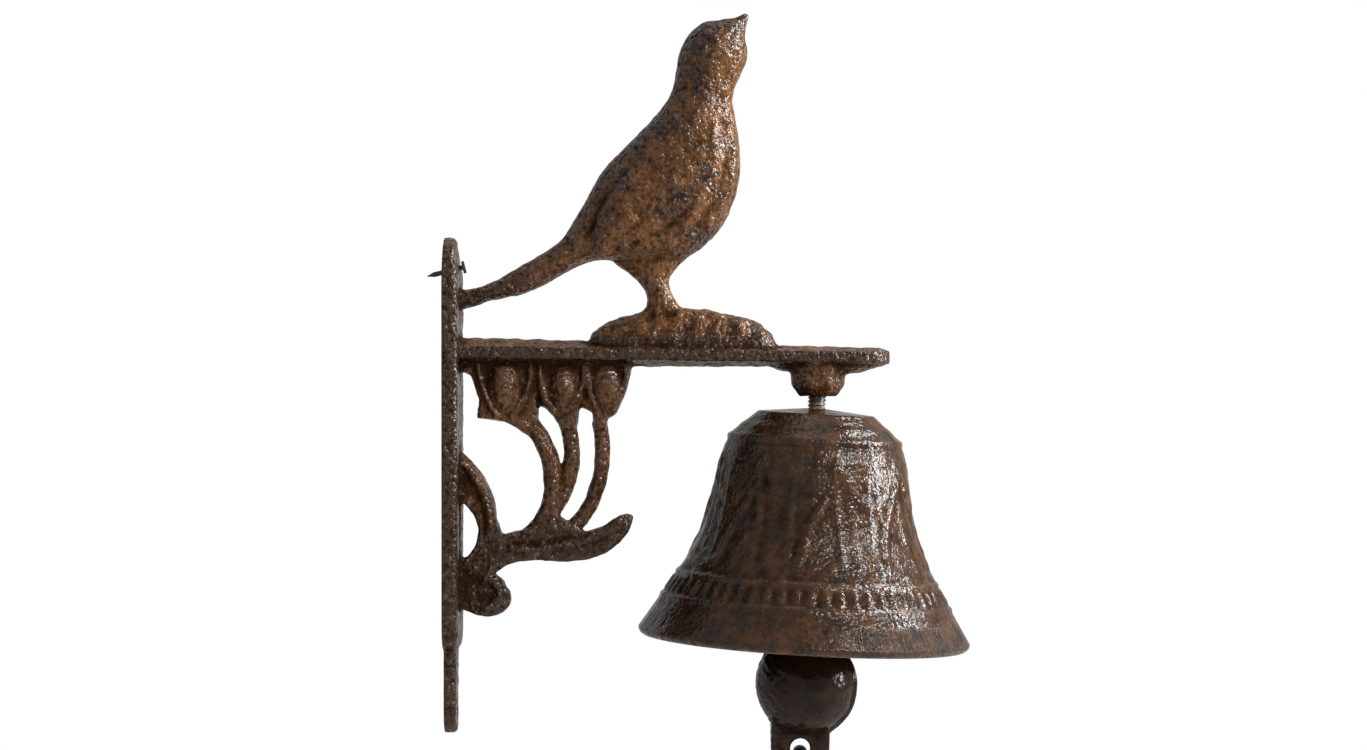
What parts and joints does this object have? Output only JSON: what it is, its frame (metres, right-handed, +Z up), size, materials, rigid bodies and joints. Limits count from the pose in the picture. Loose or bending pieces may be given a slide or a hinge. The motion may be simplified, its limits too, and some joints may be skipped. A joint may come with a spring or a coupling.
{
  "type": "cast iron wall bell",
  "caption": "Wall bell: a cast bracket with a bird, tulips and a scroll brace carries a cast bell on an eye bolt, with a swinging clapper and a pull ring.",
  "frame": {"origin": "on the back face of the wall plate, on the parting plane, near the top of the arm", "axes": "+X out of the wall along the arm, +Z up, Y across the plate"},
  "size_m": [0.1818, 0.1112, 0.269],
  "materials": {
    "iron": "antique brown paint over a sand-cast skin",
    "steel": "dark, slightly rusted steel"
  },
  "bodies": {
    "bracket_group": {"bracket": "iron", "eye_bolt": "steel", "crown_washer": "steel", "crown_nut": "steel", "fixing_nail": "steel"},
    "bell_body": {"bell": "iron"},
    "link_body": {"clapper_link": "steel"},
    "clapper_body": {"clapper": "iron"},
    "ring_body": {"pull_ring": "steel"}
  },
  "joints": [
    {"name": "bell_turn", "type": "hinge", "parent": "bracket_group", "child": "bell_body", "pos_m": [0.1248, 0, -0.0175], "axis": [0.0558, 0, 0.9984], "continuous": true},
    {"name": "link_swing", "type": "hinge", "parent": "bracket_group", "child": "link_body", "pos_m": [0.12115, 0, -0.05384], "axis": [1, 0, 0], "range_deg": [-20, 20]},
    {"name": "clapper_swing", "type": "hinge", "parent": "link_body", "child": "clapper_body", "pos_m": [0.12115, 0, -0.06909], "axis": [0, 1, 0], "range_deg": [-34, 38]},
    {"name": "ring_swing", "type": "hinge", "parent": "clapper_body", "child": "ring_body", "pos_m": [0.11905, 0, -0.13689], "axis": [0, 1, 0], "range_deg": [-60, 60]}
  ]
}
